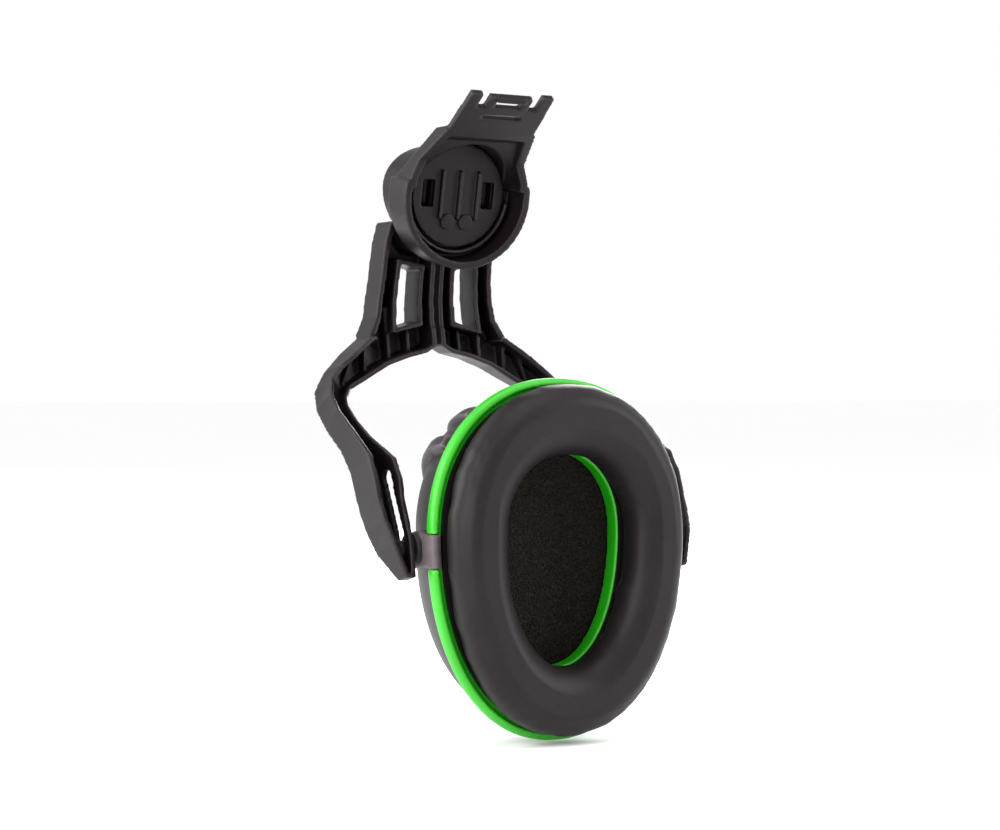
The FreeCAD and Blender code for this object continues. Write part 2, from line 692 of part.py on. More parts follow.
# ---- helmet adapter ----
def turret_point(across, up, out):
    return turret_place.multVec(V(across, up, out))


def base_side(inset):
    """Side outline of the adapter, moved in by a wall on the front and open at the back."""
    front_low = turret_point(0, -5, -inset)
    bend = turret_point(0, 3.7, -inset)
    rear_low = turret_point(0, -5, -base_depth)
    return [(front_low.y, front_low.z), (bend.y + 0.3 * inset, bend.z - 0.3 * inset),
            (ledge_y + 0.35 * inset, ledge_z - 1.3 * inset)], (rear_low.y, rear_low.z)


blade_back_root = blade_place.multVec(V(0, -blade_length, 0))
blade_front_root = blade_place.multVec(V(0, -blade_length, blade_thickness))
front_points, rear_low = base_side(0.0)
rear_bend = (-45.9, 114.6)
wedge_outline = front_points + [(blade_front_root.y, ledge_z), (blade_back_root.y, blade_back_root.z),
                                rear_bend, rear_low]
wedge = side_prism(wedge_outline, -30, 30)
plan_outline = [(notch_half_width, notch_z), (ledge_half_width, ledge_z + 0.4),
                (-ledge_half_width, ledge_z + 0.4), (-notch_half_width, notch_z),
                (-notch_half_width - 1, 96), (notch_half_width + 1, 96)]
wedge = wedge.common(front_prism(plan_outline, -80, -20))
round_base = Part.makeCylinder(base_radius, base_depth, V(0, 0, -base_depth))
collar_limit = 4.4
round_base = round_base.common(Part.makeBox(80, 60, 40, V(-40, collar_limit - 60, -20)))
collar_edges = [edge for edge in round_base.Edges
                if abs(edge.BoundBox.ZMin) < 0.01 and abs(edge.BoundBox.ZMax) < 0.01
                and edge.Curve.TypeId == "Part::GeomCircle"]
round_base = round_base.makeFillet(1.6, collar_edges)
drum = Part.makeCylinder(drum_radius, base_depth - 0.4, V(0, 0, -base_depth + 0.4))
adapter = placed(round_base, turret_place).fuse([wedge, placed(drum, turret_place)])

# hollow back: round room below, tapered room above, and the floor that carries the turret
round_room = Part.makeCylinder(base_radius - base_wall, base_depth, V(0, 0, -base_depth - base_floor))
round_room = round_room.common(Part.makeBox(80, 60, 60, V(-40, collar_limit - 2 - 60, -40)))
drum_room = Part.makeCylinder(drum_radius - base_wall + 0.6, base_depth, V(0, 0, -base_depth - base_floor))
inner_front, inner_rear = base_side(base_floor)
room_outline = inner_front + [(blade_back_root.y - 0.6, ledge_z - 3.4),
                              (blade_back_root.y + 6, ledge_z - 3.4),
                              (-38, 100), (inner_rear[0] + 4, inner_rear[1])]
tapered_room = side_prism(room_outline, -30, 30)
room_plan = [(notch_half_width - base_wall, notch_z - 0.8), (ledge_half_width - base_wall, ledge_z - 2.4),
             (-ledge_half_width + base_wall, ledge_z - 2.4), (-notch_half_width + base_wall, notch_z - 0.8),
             (-notch_half_width + base_wall - 0.6, 101), (notch_half_width - base_wall + 0.6, 101)]
tapered_room = tapered_room.common(front_prism(room_plan, -80, -20))
adapter = adapter.cut([placed(round_room, turret_place), placed(drum_room, turret_place), tapered_room])
neck_bore = Part.makeCylinder(neck_radius + running_clearance, base_depth + 2, V(0, 0, -base_depth))
guard = Part.makeCylinder(rotor_radius + 2.1, 3.4, V(0, 0, -base_floor - 3.4))
guard = guard.cut(Part.makeCylinder(rotor_radius + 1.1, 6, V(0, 0, -base_floor - 5)))
guard = guard.common(Part.makeBox(80, 60, 40, V(-40, -60 - 2, -20)))
adapter = adapter.fuse(placed(guard, turret_place)).cut(placed(neck_bore, turret_place))

# blade with two prongs, a latch tongue with a window and a relief slit
half_tip, half_root = blade_tip_width / 2, blade_root_width / 2
blade_outline = [(-half_root, -blade_length - 0.6), (half_root, -blade_length - 0.6), (half_tip, 0),
                 (-half_tip, 0)]
blade = prism([V(x, y, 0) for x, y in blade_outline], V(0, 0, blade_thickness), V(0, 0, 0))
tongue_half = half_tip - prong_width - prong_gap
tongue_drop = 1.0
for side in (1, -1):
    low_x = tongue_half if side > 0 else -tongue_half - prong_gap
    blade = blade.cut(Part.makeBox(prong_gap, prong_depth + 1, 6, V(low_x, -prong_depth, -2)))
blade = blade.cut(Part.makeBox(2 * tongue_half, 3, 6, V(-tongue_half, -tongue_drop, -2)))
blade = blade.cut(Part.makeBox(9.2, 3.0, 6, V(-4.6, -5.4, -2)))
blade = blade.cut(Part.makeBox(13.6, 1.5, 6, V(-6.8, -10.4, -2)))
latch_barb = prism([V(-5.2, -1.2, 0.2), V(-5.2, -2.3, -1.0), V(-5.2, -2.4, 0.2)], V(10.4, 0, 0), V(0, 0, 0))
blade = blade.fuse(latch_barb)
adapter_base = cleaned(adapter.fuse(placed(blade, blade_place)))

# ---- write one file per node, moved so that the blade root is the origin ----
nodes = {
    "adapter_base": adapter_base,
    "turret_housing": turret_housing,
    "turret_cap": turret_cap,
    "rotor_plate": rotor_plate,
    "rotor_pins": rotor_pins,
    "wave_washer": wave_washer,
    "hinge_pin": hinge_pin,
    "torsion_spring_left": torsion_spring_left,
    "torsion_spring_right": torsion_spring_right,
    "arm_left": arm_left,
    "arm_right": arm_right,
    "trunnion_left": trunnion_left,
    "trunnion_right": trunnion_right,
    "pivot_washers": pivot_washers,
    "cup_shell": cup_shell,
    "level_mark": level_mark,
    "ring_plate": ring_plate,
    "cushion_backing": cushion_backing,
    "cushion_cover": cushion_cover,
    "cushion_foam": cushion_foam,
    "liner_foam": liner_foam,
}
for name, shape in nodes.items():
    moved = shape.copy()
    moved.translate(V(0, -blade_root.y, -blade_root.z))
    moved.exportStep("parts/" + name + ".step")
    box = moved.BoundBox
    print(name, len(moved.Solids), "valid" if moved.isValid() else "NOT VALID", round(moved.Volume, 1),
          [round(v, 1) for v in (box.XMin, box.XMax, box.YMin, box.YMax, box.ZMin, box.ZMax)])
print("origin", blade_root, "hinge", hinge_point - blade_root, "slot", slot_direction)
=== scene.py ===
import json
import math

import bmesh
import bpy
import numpy as np
from mathutils import Matrix, Vector, noise


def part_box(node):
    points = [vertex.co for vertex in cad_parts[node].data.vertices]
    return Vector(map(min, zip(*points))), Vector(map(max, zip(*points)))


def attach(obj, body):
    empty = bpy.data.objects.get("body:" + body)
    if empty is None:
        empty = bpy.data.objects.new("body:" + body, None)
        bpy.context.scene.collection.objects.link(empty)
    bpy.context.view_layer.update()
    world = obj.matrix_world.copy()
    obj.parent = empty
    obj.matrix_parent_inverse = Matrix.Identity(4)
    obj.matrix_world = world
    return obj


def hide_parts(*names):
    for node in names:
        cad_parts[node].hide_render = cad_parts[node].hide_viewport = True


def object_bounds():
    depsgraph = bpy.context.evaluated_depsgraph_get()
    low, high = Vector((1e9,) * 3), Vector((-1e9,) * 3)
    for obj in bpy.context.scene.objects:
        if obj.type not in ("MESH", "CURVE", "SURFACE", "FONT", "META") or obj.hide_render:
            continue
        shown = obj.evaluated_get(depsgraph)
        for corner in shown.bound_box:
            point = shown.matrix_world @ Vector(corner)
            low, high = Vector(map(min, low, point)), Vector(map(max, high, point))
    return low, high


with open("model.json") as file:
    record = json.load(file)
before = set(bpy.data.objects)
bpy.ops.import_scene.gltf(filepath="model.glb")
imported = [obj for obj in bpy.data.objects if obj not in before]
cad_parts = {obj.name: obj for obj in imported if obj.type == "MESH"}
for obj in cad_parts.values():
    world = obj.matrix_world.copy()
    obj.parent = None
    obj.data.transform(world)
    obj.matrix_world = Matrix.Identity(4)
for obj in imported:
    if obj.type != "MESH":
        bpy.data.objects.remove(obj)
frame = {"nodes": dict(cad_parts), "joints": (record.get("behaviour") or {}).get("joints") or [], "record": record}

cadBounds = [list(corner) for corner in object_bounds()]
scene = bpy.context.scene
bodyOf = {node: body for body, nodes in frame["record"]["behaviour"]["bodies"].items() for node in nodes}
slotOf = {part["node"]: part["material_slot"] for part in frame["record"]["subparts"]}

# the cup's own measures, in millimetres from the middle of its rim
cup = {"halfWidth": 43.8, "upper": 46.3, "lower": 62.1, "power": 2.14, "ringDepth": 4.4}
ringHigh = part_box("ring_plate")[1] * 1000
rimOrigin = Vector((0.0, ringHigh.y - cup["ringDepth"], ringHigh.z - cup["upper"]))


def atRim(x, y, z):
    return (Vector((x, y, z)) + rimOrigin) / 1000


def eggPoint(turn, sideInset, endInset):
    across, up = math.cos(turn), math.sin(turn)
    height = cup["upper"] if up >= 0 else cup["lower"]
    power = 2 / cup["power"]
    return (math.copysign(abs(across) ** power, across) * (cup["halfWidth"] - sideInset),
            math.copysign(abs(up) ** power, up) * (height - endInset))


# shader arithmetic
class Wire:
    def __init__(self, tree, socket=None):
        self.tree = tree
        self.socket = socket

    def node(self, kind, settings=None, sockets=None, result=0):
        made = self.tree.nodes.new(kind)
        for name, value in (settings or {}).items():
            if name == "stops":
                for index, (place, colour) in enumerate(value):
                    stops = made.color_ramp.elements
                    stop = stops[index] if index < 2 else stops.new(place)
                    stop.position, stop.color = place, colour
            else:
                setattr(made, name, value)
        for name, value in (sockets or {}).items():
            if isinstance(value, Wire):
                self.tree.links.new(value.socket, made.inputs[name])
            else:
                made.inputs[name].default_value = value
        return Wire(self.tree, made.outputs[result] if made.outputs else None)

    def maths(self, operation, first, second=0.0):
        return self.node("ShaderNodeMath", {"operation": operation}, {0: first, 1: second})

    def __add__(self, other):
        return self.maths("ADD", self, other)

    __radd__ = __add__

    def __mul__(self, other):
        return self.maths("MULTIPLY", self, other)

    __rmul__ = __mul__

    def __sub__(self, other):
        return self.maths("SUBTRACT", self, other)

    def __rsub__(self, other):
        return self.maths("SUBTRACT", other, self)

    def __pow__(self, other):
        return self.maths("POWER", self, other)

    def within(self, low, high):
        return self.node("ShaderNodeMapRange", {"clamp": True},
                         {"Value": self, "From Min": low, "From Max": high})

    def blend(self, dark, light):
        return self.node("ShaderNodeMix", {"data_type": "RGBA"}, {0: self, 6: dark, 7: light}, 2)


def newPaint(name):
    paint = bpy.data.materials.new(name)
    paint.use_nodes = True
    paint.node_tree.nodes.clear()
    return paint, Wire(paint.node_tree)


def finishPaint(paint, wire, sockets):
    shader = wire.node("ShaderNodeBsdfPrincipled", None, sockets)
    wire.node("ShaderNodeOutputMaterial", None, {"Surface": shader})
    paint.diffuse_color = (0.1, 0.1, 0.1, 1)
    return paint


# moulded plastics: a fine spark-eroded grain, slow changes of tone, a few rubbed spots, painted highlights on
# raised edges and painted shade in inner corners
def mouldedPaint(name, look):
    paint, wire = newPaint(name)
    place = wire.node("ShaderNodeTexCoord", None, None, 3)
    grain = wire.node("ShaderNodeTexNoise", None,
                      {"Vector": place, "Scale": look["grainScale"], "Detail": 2.0, "Roughness": 0.6})
    cloud = wire.node("ShaderNodeTexNoise", None, {"Vector": place, "Scale": 45.0, "Detail": 3.0})
    rub = wire.node("ShaderNodeTexNoise", None,
                    {"Vector": place, "Scale": 260.0, "Detail": 4.0, "Roughness": 0.7})
    tone = cloud.within(0.3, 0.7) * 0.45 + grain.within(0.35, 0.7) * look["speckle"]
    # raised edges get a painted highlight, broken up by the rub noise; inner corners get a painted shade
    bend = wire.node("ShaderNodeAttribute", {"attribute_name": "edgeBend"}, None, 2)
    body = tone.blend(look["dark"], look["light"])
    paintedEdgeHighlight = (bend.within(0.10, 0.9) * (rub.within(0.2, 0.6) * 0.4 + 0.6)).blend(body, look["edge"])
    shaded = ((bend * -1.0).within(0.05, 0.8) * 0.8).blend(paintedEdgeHighlight, look["corner"])
    rough = (cloud - 0.5) * 0.10 + rub.within(0.55, 0.8) * look["rub"] + (look["roughness"] - 0.02)
    normal = wire.node("ShaderNodeBump", None,
                       {"Height": grain, "Distance": look["grainDepth"], "Strength": look["grainStrength"]})
    return finishPaint(paint, wire, {"Base Color": shaded, "Roughness": rough,
                                     "Normal": normal, "Specular IOR Level": look["shine"]})


# in each look, edge is the colour of the painted highlight on raised edges and corner the colour of the painted
# shade in inner corners
plastics = {
    "framePlastic": {"dark": (0.0046, 0.0029, 0.0035, 1), "light": (0.0125, 0.0083, 0.0098, 1),
                     "speckle": 0.35, "roughness": 0.43, "rub": 0.08, "grainScale": 2400.0,
                     "grainDepth": 0.00006, "grainStrength": 0.35, "shine": 0.15,
                     "edge": (0.050, 0.039, 0.044, 1), "corner": (0.0008, 0.0007, 0.0008, 1)},
    "shellPlastic": {"dark": (0.0058, 0.0042, 0.0050, 1), "light": (0.0275, 0.0210, 0.0245, 1),
                     "speckle": 0.6, "roughness": 0.46, "rub": 0.06, "grainScale": 1700.0,
                     "grainDepth": 0.00012, "grainStrength": 0.6, "shine": 0.24,
                     "edge": (0.125, 0.102, 0.115, 1), "corner": (0.0015, 0.0013, 0.0014, 1)},
    "greenPlastic": {"dark": (0.009, 0.30, 0.004, 1), "light": (0.024, 0.46, 0.010, 1), "speckle": 0.2,
                     "roughness": 0.40, "rub": 0.06, "grainScale": 2600.0, "grainDepth": 0.00003,
                     "grainStrength": 0.2, "shine": 0.45,
                     "edge": (0.11, 0.60, 0.05, 1), "corner": (0.004, 0.20, 0.003, 1)},
    "washerNylon": {"dark": (0.020, 0.020, 0.021, 1), "light": (0.045, 0.045, 0.047, 1), "speckle": 0.2,
                    "roughness": 0.42, "rub": 0.05, "grainScale": 3000.0, "grainDepth": 0.00002,
                    "grainStrength": 0.2, "shine": 0.5,
                    "edge": (0.08, 0.08, 0.082, 1), "corner": (0.004, 0.004, 0.004, 1)},
}
framePlastic, shellPlastic, greenPlastic, washerNylon = [
    mouldedPaint(name, look) for name, look in plastics.items()]


# polished cap: near mirror, with hairline scuffs that only show in the gloss
def capPaint():
    paint, wire = newPaint("polishedCap")
    place = wire.node("ShaderNodeTexCoord", None, None, 3)
    stretched = wire.node("ShaderNodeMapping", None, {"Vector": place, "Scale": (900.0, 60.0, 60.0),
                                                      "Rotation": (0.0, 0.6, 0.3)})
    scuff = wire.node("ShaderNodeTexNoise", None, {"Vector": stretched, "Scale": 3.0, "Detail": 4.0})
    film = wire.node("ShaderNodeTexNoise", None, {"Vector": place, "Scale": 120.0, "Detail": 2.0})
    rough = scuff.within(0.62, 0.8) * 0.10 + film * 0.05 + 0.09
    tone = film.blend((0.006, 0.006, 0.0065, 1), (0.010, 0.010, 0.011, 1))
    return finishPaint(paint, wire, {"Base Color": tone, "Roughness": rough,
                                     "Coat Weight": film.within(0.2, 0.8) * 0.5 + 0.4})


# bright spring steel with drawing lines along the wire
def steelPaint():
    paint, wire = newPaint("springSteel")
    place = wire.node("ShaderNodeTexCoord", None, None, 3)
    lines = wire.node("ShaderNodeMapping", None, {"Vector": place, "Scale": (40.0, 2200.0, 2200.0)})
    drawn = wire.node("ShaderNodeTexNoise", None, {"Vector": lines, "Scale": 1.0, "Detail": 3.0})
    rough = drawn * 0.25 + 0.16
    return finishPaint(paint, wire, {"Base Color": drawn.blend((0.42, 0.42, 0.43, 1), (0.68, 0.67, 0.66, 1)),
                                     "Roughness": rough, "Metallic": 1.0})


# cushion skin: smooth artificial leather with very fine pores and a soft bloom
def cushionPaint():
    paint, wire = newPaint("cushionSkin")
    place = wire.node("ShaderNodeTexCoord", None, None, 3)
    pores = wire.node("ShaderNodeTexVoronoi", None, {"Vector": place, "Scale": 1500.0})
    cloud = wire.node("ShaderNodeTexNoise", None, {"Vector": place, "Scale": 38.0, "Detail": 4.0})
    fine = wire.node("ShaderNodeTexNoise", None, {"Vector": place, "Scale": 700.0, "Detail": 3.0})
    height = pores.within(0.0, 0.7) * 0.5 + fine * 0.5
    share = cloud.within(0.3, 0.7) * 0.55 + fine.within(0.3, 0.7) * 0.25
    tone = share.blend((0.0074, 0.0050, 0.0062, 1), (0.0150, 0.0105, 0.0128, 1))
    normal = wire.node("ShaderNodeBump", None, {"Height": height, "Distance": 0.00004, "Strength": 0.22})
    return finishPaint(paint, wire, {"Base Color": tone,
                                     "Roughness": (cloud - 0.5) * 0.10 + 0.45, "Normal": normal,
                                     "Specular IOR Level": 0.17})


# open-cell foam: paler struts, and dark cells whose darkness is painted shade in the pores
def foamPaint(name, dark, light):
    paint, wire = newPaint(name)
    place = wire.node("ShaderNodeTexCoord", None, None, 3)
    cells = wire.node("ShaderNodeTexVoronoi", {"feature": "DISTANCE_TO_EDGE"},
                      {"Vector": place, "Scale": 1250.0})
    fleck = wire.node("ShaderNodeTexNoise", None,
                      {"Vector": place, "Scale": 1500.0, "Detail": 3.0, "Roughness": 0.7})
    struts = 1.0 - cells.within(0.02, 0.30)
    tone = struts * 0.35 + (fleck.within(0.50, 0.80) ** 1.5) * 0.9
    normal = wire.node("ShaderNodeBump", None,
                       {"Height": struts + fleck, "Distance": 0.0005, "Strength": 0.9})
    return finishPaint(paint, wire, {"Base Color": tone.blend(dark, light), "Roughness": 0.95,
                                     "Normal": normal, "Specular IOR Level": 0.2})


polishedCap = capPaint()
springSteel = steelPaint()
cushionSkin = cushionPaint()
linerFoam = foamPaint("linerFoam", (0.0010, 0.0008, 0.0006, 1), (0.040, 0.031, 0.024, 1))
paddingFoam = foamPaint("paddingFoam", (0.45, 0.42, 0.34, 1), (0.75, 0.71, 0.60, 1))
paintOfSlot = {"black_plastic": framePlastic, "gloss_black": polishedCap, "green_plastic": greenPlastic,
               "steel": springSteel, "pale_nylon": washerNylon, "cushion_skin": cushionSkin,
               "cushion_foam": paddingFoam, "liner_foam": linerFoam}
for node, cadPiece in frame["nodes"].items():
    cadPiece.data.materials.clear()
    cadPiece.data.materials.append(paintOfSlot[slotOf[node]])
print("paints ready")


# mesh helpers
def newPiece(name, mesh, paint):
    piece = bpy.data.objects.new(name, mesh)
    scene.collection.objects.link(piece)
    mesh.materials.clear()
    mesh.materials.append(paint)
    mesh.polygons.foreach_set("use_smooth", [True] * len(mesh.polygons))
    return piece


def settled(piece, name, paint):
    # the evaluated shape as a plain mesh in its place
    bpy.context.view_layer.update()
    shape = piece.evaluated_get(bpy.context.evaluated_depsgraph_get())
    mesh = bpy.data.meshes.new_from_object(shape)
    bpy.data.objects.remove(piece)
    mesh.name = name
    return newPiece(name, mesh, paint)


def mergedCopy(node):
    mesh = frame["nodes"][node].data.copy()
    build = bmesh.new()
    build.from_mesh(mesh)
    bmesh.ops.remove_doubles(build, verts=build.verts, dist=2e-6)
    build.to_mesh(mesh)
    build.free()
    return mesh


def markEdges(piece, gain, extra=None):
    # how sharply the surface bends at each point: above 0 on raised edges, below 0 in inner corners
    mesh = piece.data
    count = len(mesh.vertices)
    places, normals = np.empty(count * 3), np.empty(count * 3)
    ends = np.empty(len(mesh.edges) * 2, int)
    mesh.vertices.foreach_get("co", places)
    mesh.vertices.foreach_get("normal", normals)
    mesh.edges.foreach_get("vertices", ends)
    places, normals, ends = places.reshape(-1, 3), normals.reshape(-1, 3), ends.reshape(-1, 2)
    along = places[ends[:, 1]] - places[ends[:, 0]]
    along /= np.maximum(np.linalg.norm(along, axis=1), 1e-9)[:, None]
    total, number = np.zeros(count), np.zeros(count)
    for end, sign in ((0, 1.0), (1, -1.0)):
        np.add.at(total, ends[:, end], sign * np.einsum("ij,ij->i", along, normals[ends[:, end]]))
        np.add.at(number, ends[:, end], 1.0)
    bend = -total / np.maximum(number, 1) * gain
    for _ in range(2):
        spread = np.zeros(count)
        np.add.at(spread, ends[:, 0], bend[ends[:, 1]])
        np.add.at(spread, ends[:, 1], bend[ends[:, 0]])
        bend = 0.5 * bend + 0.5 * spread / np.maximum(number, 1)
    if extra is not None:
        bend = bend + np.array([extra(Vector(place)) for place in places])
    layer = mesh.attributes.new("edgeBend", "FLOAT", "POINT")
    layer.data.foreach_set("value", np.clip(bend, -1, 1).astype(np.float32))
    return piece


def pushed(piece, rule):
    # moves every point by a rule of its place and normal, both read before anything moves
    count = len(piece.data.vertices)
    places, normals = np.empty(count * 3), np.empty(count * 3)
    piece.data.vertices.foreach_get("co", places)
    piece.data.vertices.foreach_get("normal", normals)
    places, normals = places.reshape(-1, 3), normals.reshape(-1, 3)
    moved = np.array([rule(Vector(place), Vector(normal)) for place, normal in zip(places, normals)])
    piece.data.vertices.foreach_set("co", moved.ravel())
    piece.data.update()


def standFor(piece, node):
    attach(piece, bodyOf[node])
    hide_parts(node)
    return piece


# moulded pieces get the small soft edge that every moulding has, and the edge bend that drives their painted
# highlights and painted shade
def softened(node, voxel, rounds):
    paint = paintOfSlot[slotOf[node]]
    rough = newPiece(node + ".rough", mergedCopy(node), paint)
    remesh = rough.modifiers.new("Even", "REMESH")
    remesh.mode, remesh.voxel_size, remesh.use_smooth_shade = "VOXEL", voxel / 1000, True
    ease = rough.modifiers.new("Ease", "SMOOTH")
    ease.factor, ease.iterations = 0.5, rounds
    return standFor(markEdges(settled(rough, node + ".moulded", paint), edgeLightAndShadeGain), node)


# strength of the painted edge highlights and painted corner shade on the moulded pieces
edgeLightAndShadeGain = 3.0
softEdges = {  # how fine each is remade, in millimetres, and how often it is smoothed
    "arm_left": (0.45, 3), "arm_right": (0.45, 3), "adapter_base": (0.42, 3), "turret_housing": (0.42, 2),
    "turret_cap": (0.30, 4), "rotor_plate": (0.35, 3), "rotor_pins": (0.25, 3), "ring_plate": (0.50, 4),
    "trunnion_left": (0.25, 3), "trunnion_right": (0.25, 3), "level_mark": (0.14, 3),
}
for node, (voxel, rounds) in softEdges.items():
    softened(node, voxel, rounds)
print("moulded pieces softened")


# cup shell
shell = {
    # stations from the rim to the crown: how far in from the rim, how far out from its plane
    "profile": [(2.6, 0.35), (2.35, -0.3), (2.45, -0.65), (2.8, -0.95), (3.05, -1.6), (3.3, -5.88),
                (4.3, -12.04), (6.1, -17.36), (9.5, -21.84), (15.0, -24.78), (23.8, -26.94), (33.8, -28.0)],
    "turns": 512, "step": 0.52, "wall": 2.5, "spine": (-16.0, 1.0), "crownRise": 0.35, "crownRows": 16,
    "plainRows": 6, "fadeRows": 4.0, "shoulder": (20.0, 14.0), "edgeGain": 4.5,
    "ribHeight": 1.3, "shoulderRise": 0.9, "ramp": 0.65,
    # edges of the two raised chevrons on one half, outer end first
    "chevrons": [
        [(27.0, 44.0), (21.9, 36.2), (15.0, 26.0), (0.0, 8.6)],
        [(31.5, 40.5), (25.9, 33.3), (19.0, 23.9), (0.0, -2.6)],
        [(36.0, 35.0), (29.9, 26.8), (24.1, 15.9), (9.2, -11.7), (0.0, -15.3)],
        [(40.0, 32.0), (33.5, 23.9), (27.0, 8.6), (8.8, -25.4), (0.0, -29.1)],
    ],
    "signDish": {"middle": 0.4, "radius": 30.0, "depth": 0.45, "ramp": 0.8},
    "shade": {"front": -12, "dish": 0.38, "dishRamp": 1.0, "edgeRamp": 0.6, "line": 0.7},
    "inner": {"inset": 0.6, "rise": 1.4, "lip": 3.4},
    # the lowered flanks: height and half width of the raised middle
    "flank": [(60.0, 31.0), (16.0, 30.0), (7.9, 26.3), (-8.9, 25.9), (-26.4, 21.7), (-45.0, 14.0),
              (-70.0, 8.0)],
    "flankDrop": 0.55, "flankRamp": 2.2,
    "badge": {"x": 0.0, "z": -36.6, "half": (11.6, 3.6), "line": 0.5, "depth": 0.55, "ramp": 0.35},
    "boss": {"radius": 5.5, "from": 36.5, "to": 42.7, "edge": 0.5, "sides": 48},
    "clip": {"inner": 2.9, "outer": 0.15, "low": -2.6, "high": 4.25, "half": 4.9, "middle": -4.3,
             "steps": 14, "lowEdge": 0.7, "highEdge": 0.6},
}


def profileRows(stations, step):
    # an even walk along a smooth line through the stations
    points = [np.array(p) for p in stations]
    walk = []
    for index in range(len(points) - 1):
        before = points[max(index - 1, 0)]
        first, second = points[index], points[index + 1]
        after = points[min(index + 2, len(points) - 1)]
        length = np.linalg.norm(second - first)
        slopeIn = (second - before) / max(np.linalg.norm(first - before) + length, 1e-6) * length
        slopeOut = (after - first) / max(np.linalg.norm(after - second) + length, 1e-6) * length
        count = max(int(round(length / step)), 1)
        for k in range(count):
            t = k / count
            walk.append((2 * t**3 - 3 * t**2 + 1) * first + (t**3 - 2 * t**2 + t) * slopeIn
                        + (3 * t**2 - 2 * t**3) * second + (t**3 - t**2) * slopeOut)
    walk.append(points[-1])
    return walk


def ramped(value, width):
    t = min(max(value / width * 0.5 + 0.5, 0.0), 1.0)
    return t * t * (3 - 2 * t)


def chevronGap(edge, x, z):
    # signed distance of a point above one chevron edge
    for (farX, farZ), (nearX, nearZ) in zip(edge[:-1], edge[1:]):
        if x >= nearX or (nearX, nearZ) == edge[-1]:
            run, rise = farX - nearX, farZ - nearZ
            return ((z - nearZ) * run - (x - nearX) * rise) / math.hypot(run, rise)
    return 0.0


def shellRelief(x, z):
    x = abs(x)
    ramp = shell["ramp"]
    gaps = [chevronGap(edge, x, z) for edge in shell["chevrons"]]
    upperBand = ramped(-gaps[0], ramp) * ramped(gaps[1], ramp)
    lowerBand = ramped(-gaps[2], ramp) * ramped(gaps[3], ramp)
    shoulder = min(max((x - shell["shoulder"][0]) / shell["shoulder"][1], 0.0), 1.0)
    rise = (upperBand + lowerBand) * (shell["ribHeight"] + shell["shoulderRise"] * shoulder)
    dish = shell["signDish"]
    inDish = ramped(dish["radius"] - math.hypot(x, z - dish["middle"]), dish["ramp"]) * ramped(gaps[0], ramp)
    rise -= dish["depth"] * inDish
    flankX = np.interp(-z, [-p[0] for p in shell["flank"]], [p[1] for p in shell["flank"]])
    onFlank = ramped(x - flankX, shell["flankRamp"]) * (1 - lowerBand) * ramped(-gaps[3], ramp)
    rise -= shell["flankDrop"] * onFlank
    return rise - shell["badge"]["depth"] * onBadge(x, z)


def onBadge(x, z):
    # 1 on the line of the blank badge, 0 off it
    badge = shell["badge"]
    apart = max(abs(x - badge["x"]) - badge["half"][0], abs(z - badge["z"]) - badge["half"][1])
    return ramped(badge["line"] - abs(apart), badge["ramp"])


def eggRing(build, sideInset, endInset, y, turns):
    # one closed ring of points round the cup
    corners = [eggPoint(2 * math.pi * k / turns, sideInset, endInset) for k in range(turns)]
    return [build.verts.new(atRim(x, y, z)) for x, z in corners]


def joinRings(build, rings, inward=False):
    for low, high in zip(rings[:-1], rings[1:]):
        for k in range(len(low)):
            after = (k + 1) % len(low)
            near, far = (after, k) if inward else (k, after)
            build.faces.new((low[near], low[far], high[far], high[near]))


def makeShell():
    outerRows = profileRows(shell["profile"], shell["step"])
    turns = shell["turns"]
    build = bmesh.new()
    rings = [eggRing(build, inset, inset, y, turns) for inset, y in outerRows]
    lastInset, lastY = outerRows[-1]
    crownRows = shell["crownRows"]
    for row in range(1, crownRows + 1):
        share = 1 - row / crownRows
        ring = []
        for k in range(turns):
            x, z = eggPoint(2 * math.pi * k / turns, lastInset, lastInset)
            spineZ = min(max(z, shell["spine"][0]), shell["spine"][1])
            ring.append(build.verts.new(atRim(x * share, lastY - shell["crownRise"] * (1 - share * share),
                                              spineZ + (z - spineZ) * share)))
        rings.append(ring)
    joinRings(build, rings)
    build.normal_update()
    outward = -1.0 if rings[-crownRows - 4][0].normal.y > 0 else 1.0
    moves = []
    for rowIndex, ring in enumerate(rings):
        fade = min(max((rowIndex - shell["plainRows"]) / shell["fadeRows"], 0.0), 1.0)
        for vert in ring:
            spot = vert.co * 1000 - rimOrigin
            moves.append((vert, vert.normal * (outward * fade * shellRelief(spot.x, spot.z) / 1000)))
    for vert, move in moves:
        vert.co += move
    # the plain inner skin that closes the wall
    skin, wall = shell["inner"], shell["wall"]
    (rimInset, rimY), (crownInset, crownY) = shell["profile"][0], shell["profile"][-1]
    innerStations = [(rimInset + skin["lip"], rimY)]
    innerStations += [(inset + wall + skin["inset"], y + skin["rise"]) for inset, y in shell["profile"][5:-1]]
    innerStations.append((crownInset, crownY + wall))
    inner = [eggRing(build, inset, inset, y, turns) for inset, y in innerStations]
    joinRings(build, [rings[0]] + inner, inward=True)
    build.faces.new(inner[-1])
    bmesh.ops.remove_doubles(build, verts=build.verts, dist=1e-6)
    bmesh.ops.recalc_face_normals(build, faces=build.faces)
    return build


def addBoss(build, side, y, z):
    # the short bevelled boss that each pivot turns in
    boss = shell["boss"]
    sides, radius, edge = boss["sides"], boss["radius"], boss["edge"]
    start, end = side * boss["from"], side * boss["to"]
    turns = [2 * math.pi * k / sides for k in range(sides)]
    rings = []
    for r, x in [(radius, start), (radius, end - side * edge), (radius - edge, end)]:
        rings.append([build.verts.new(atRim(x, y + r * math.cos(turn), z + r * math.sin(turn)))
                      for turn in turns])
    joinRings(build, rings)
    build.faces.new(rings[0])
    build.faces.new(rings[-1])


